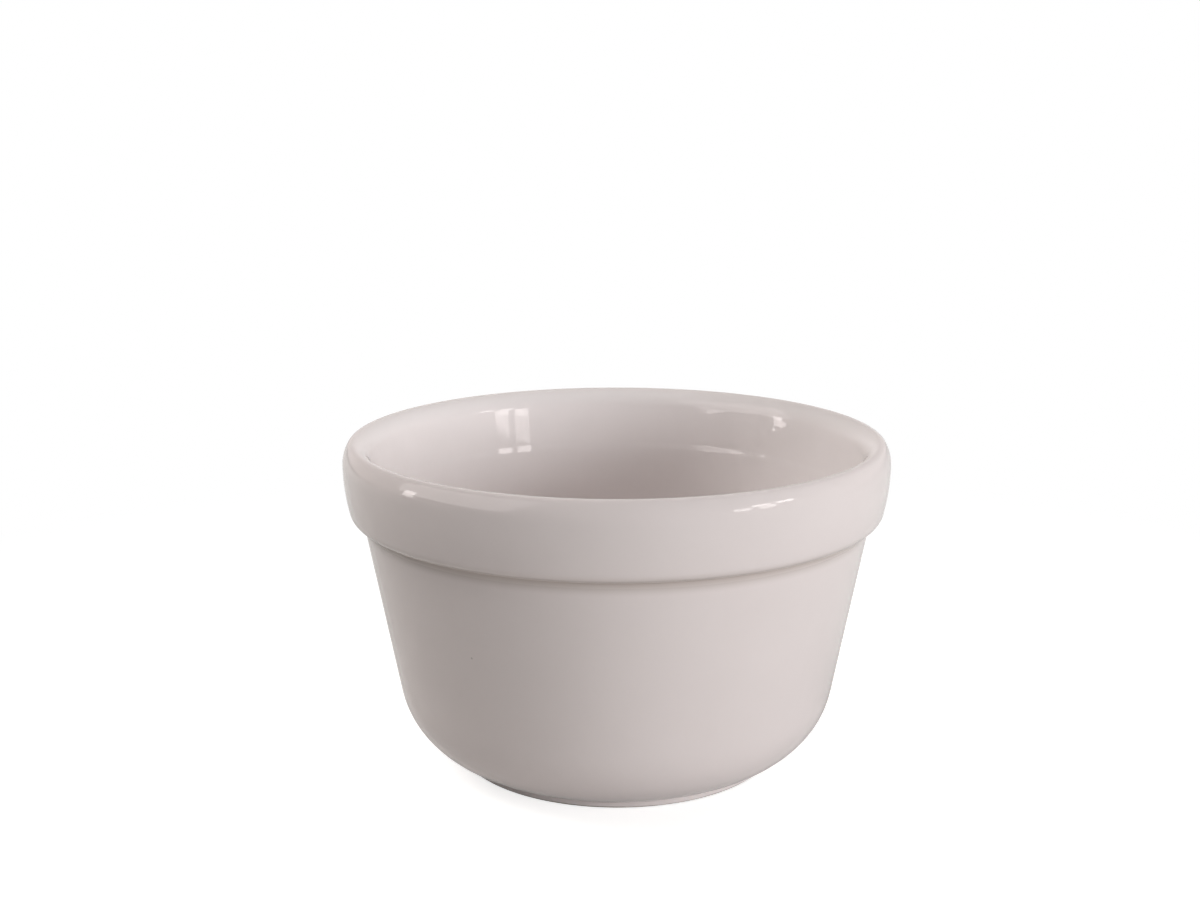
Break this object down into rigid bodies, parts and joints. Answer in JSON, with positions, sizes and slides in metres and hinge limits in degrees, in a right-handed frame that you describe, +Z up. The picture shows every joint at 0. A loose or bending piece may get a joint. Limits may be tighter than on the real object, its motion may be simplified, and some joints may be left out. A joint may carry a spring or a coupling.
{
  "type": "ramekin",
  "caption": "Small round white ramekin with a thick banded rim, sides tapering to a rounded heel, a low foot ring and a glossy glaze.",
  "frame": {"origin": "centre of the plane that the foot ring stands on", "axes": "+Z up along the dish's axis of symmetry; X and Y are any two horizontal directions, since the dish is round"},
  "size_m": [0.106, 0.106, 0.0637],
  "materials": {
    "stoneware": "dry unglazed clay, matt",
    "glaze": "glossy opaque white glaze"
  },
  "bodies": {
    "root": {"stoneware_body": "stoneware", "glaze_coat": "glaze", "base_glaze": "glaze"}
  },
  "joints": []
}
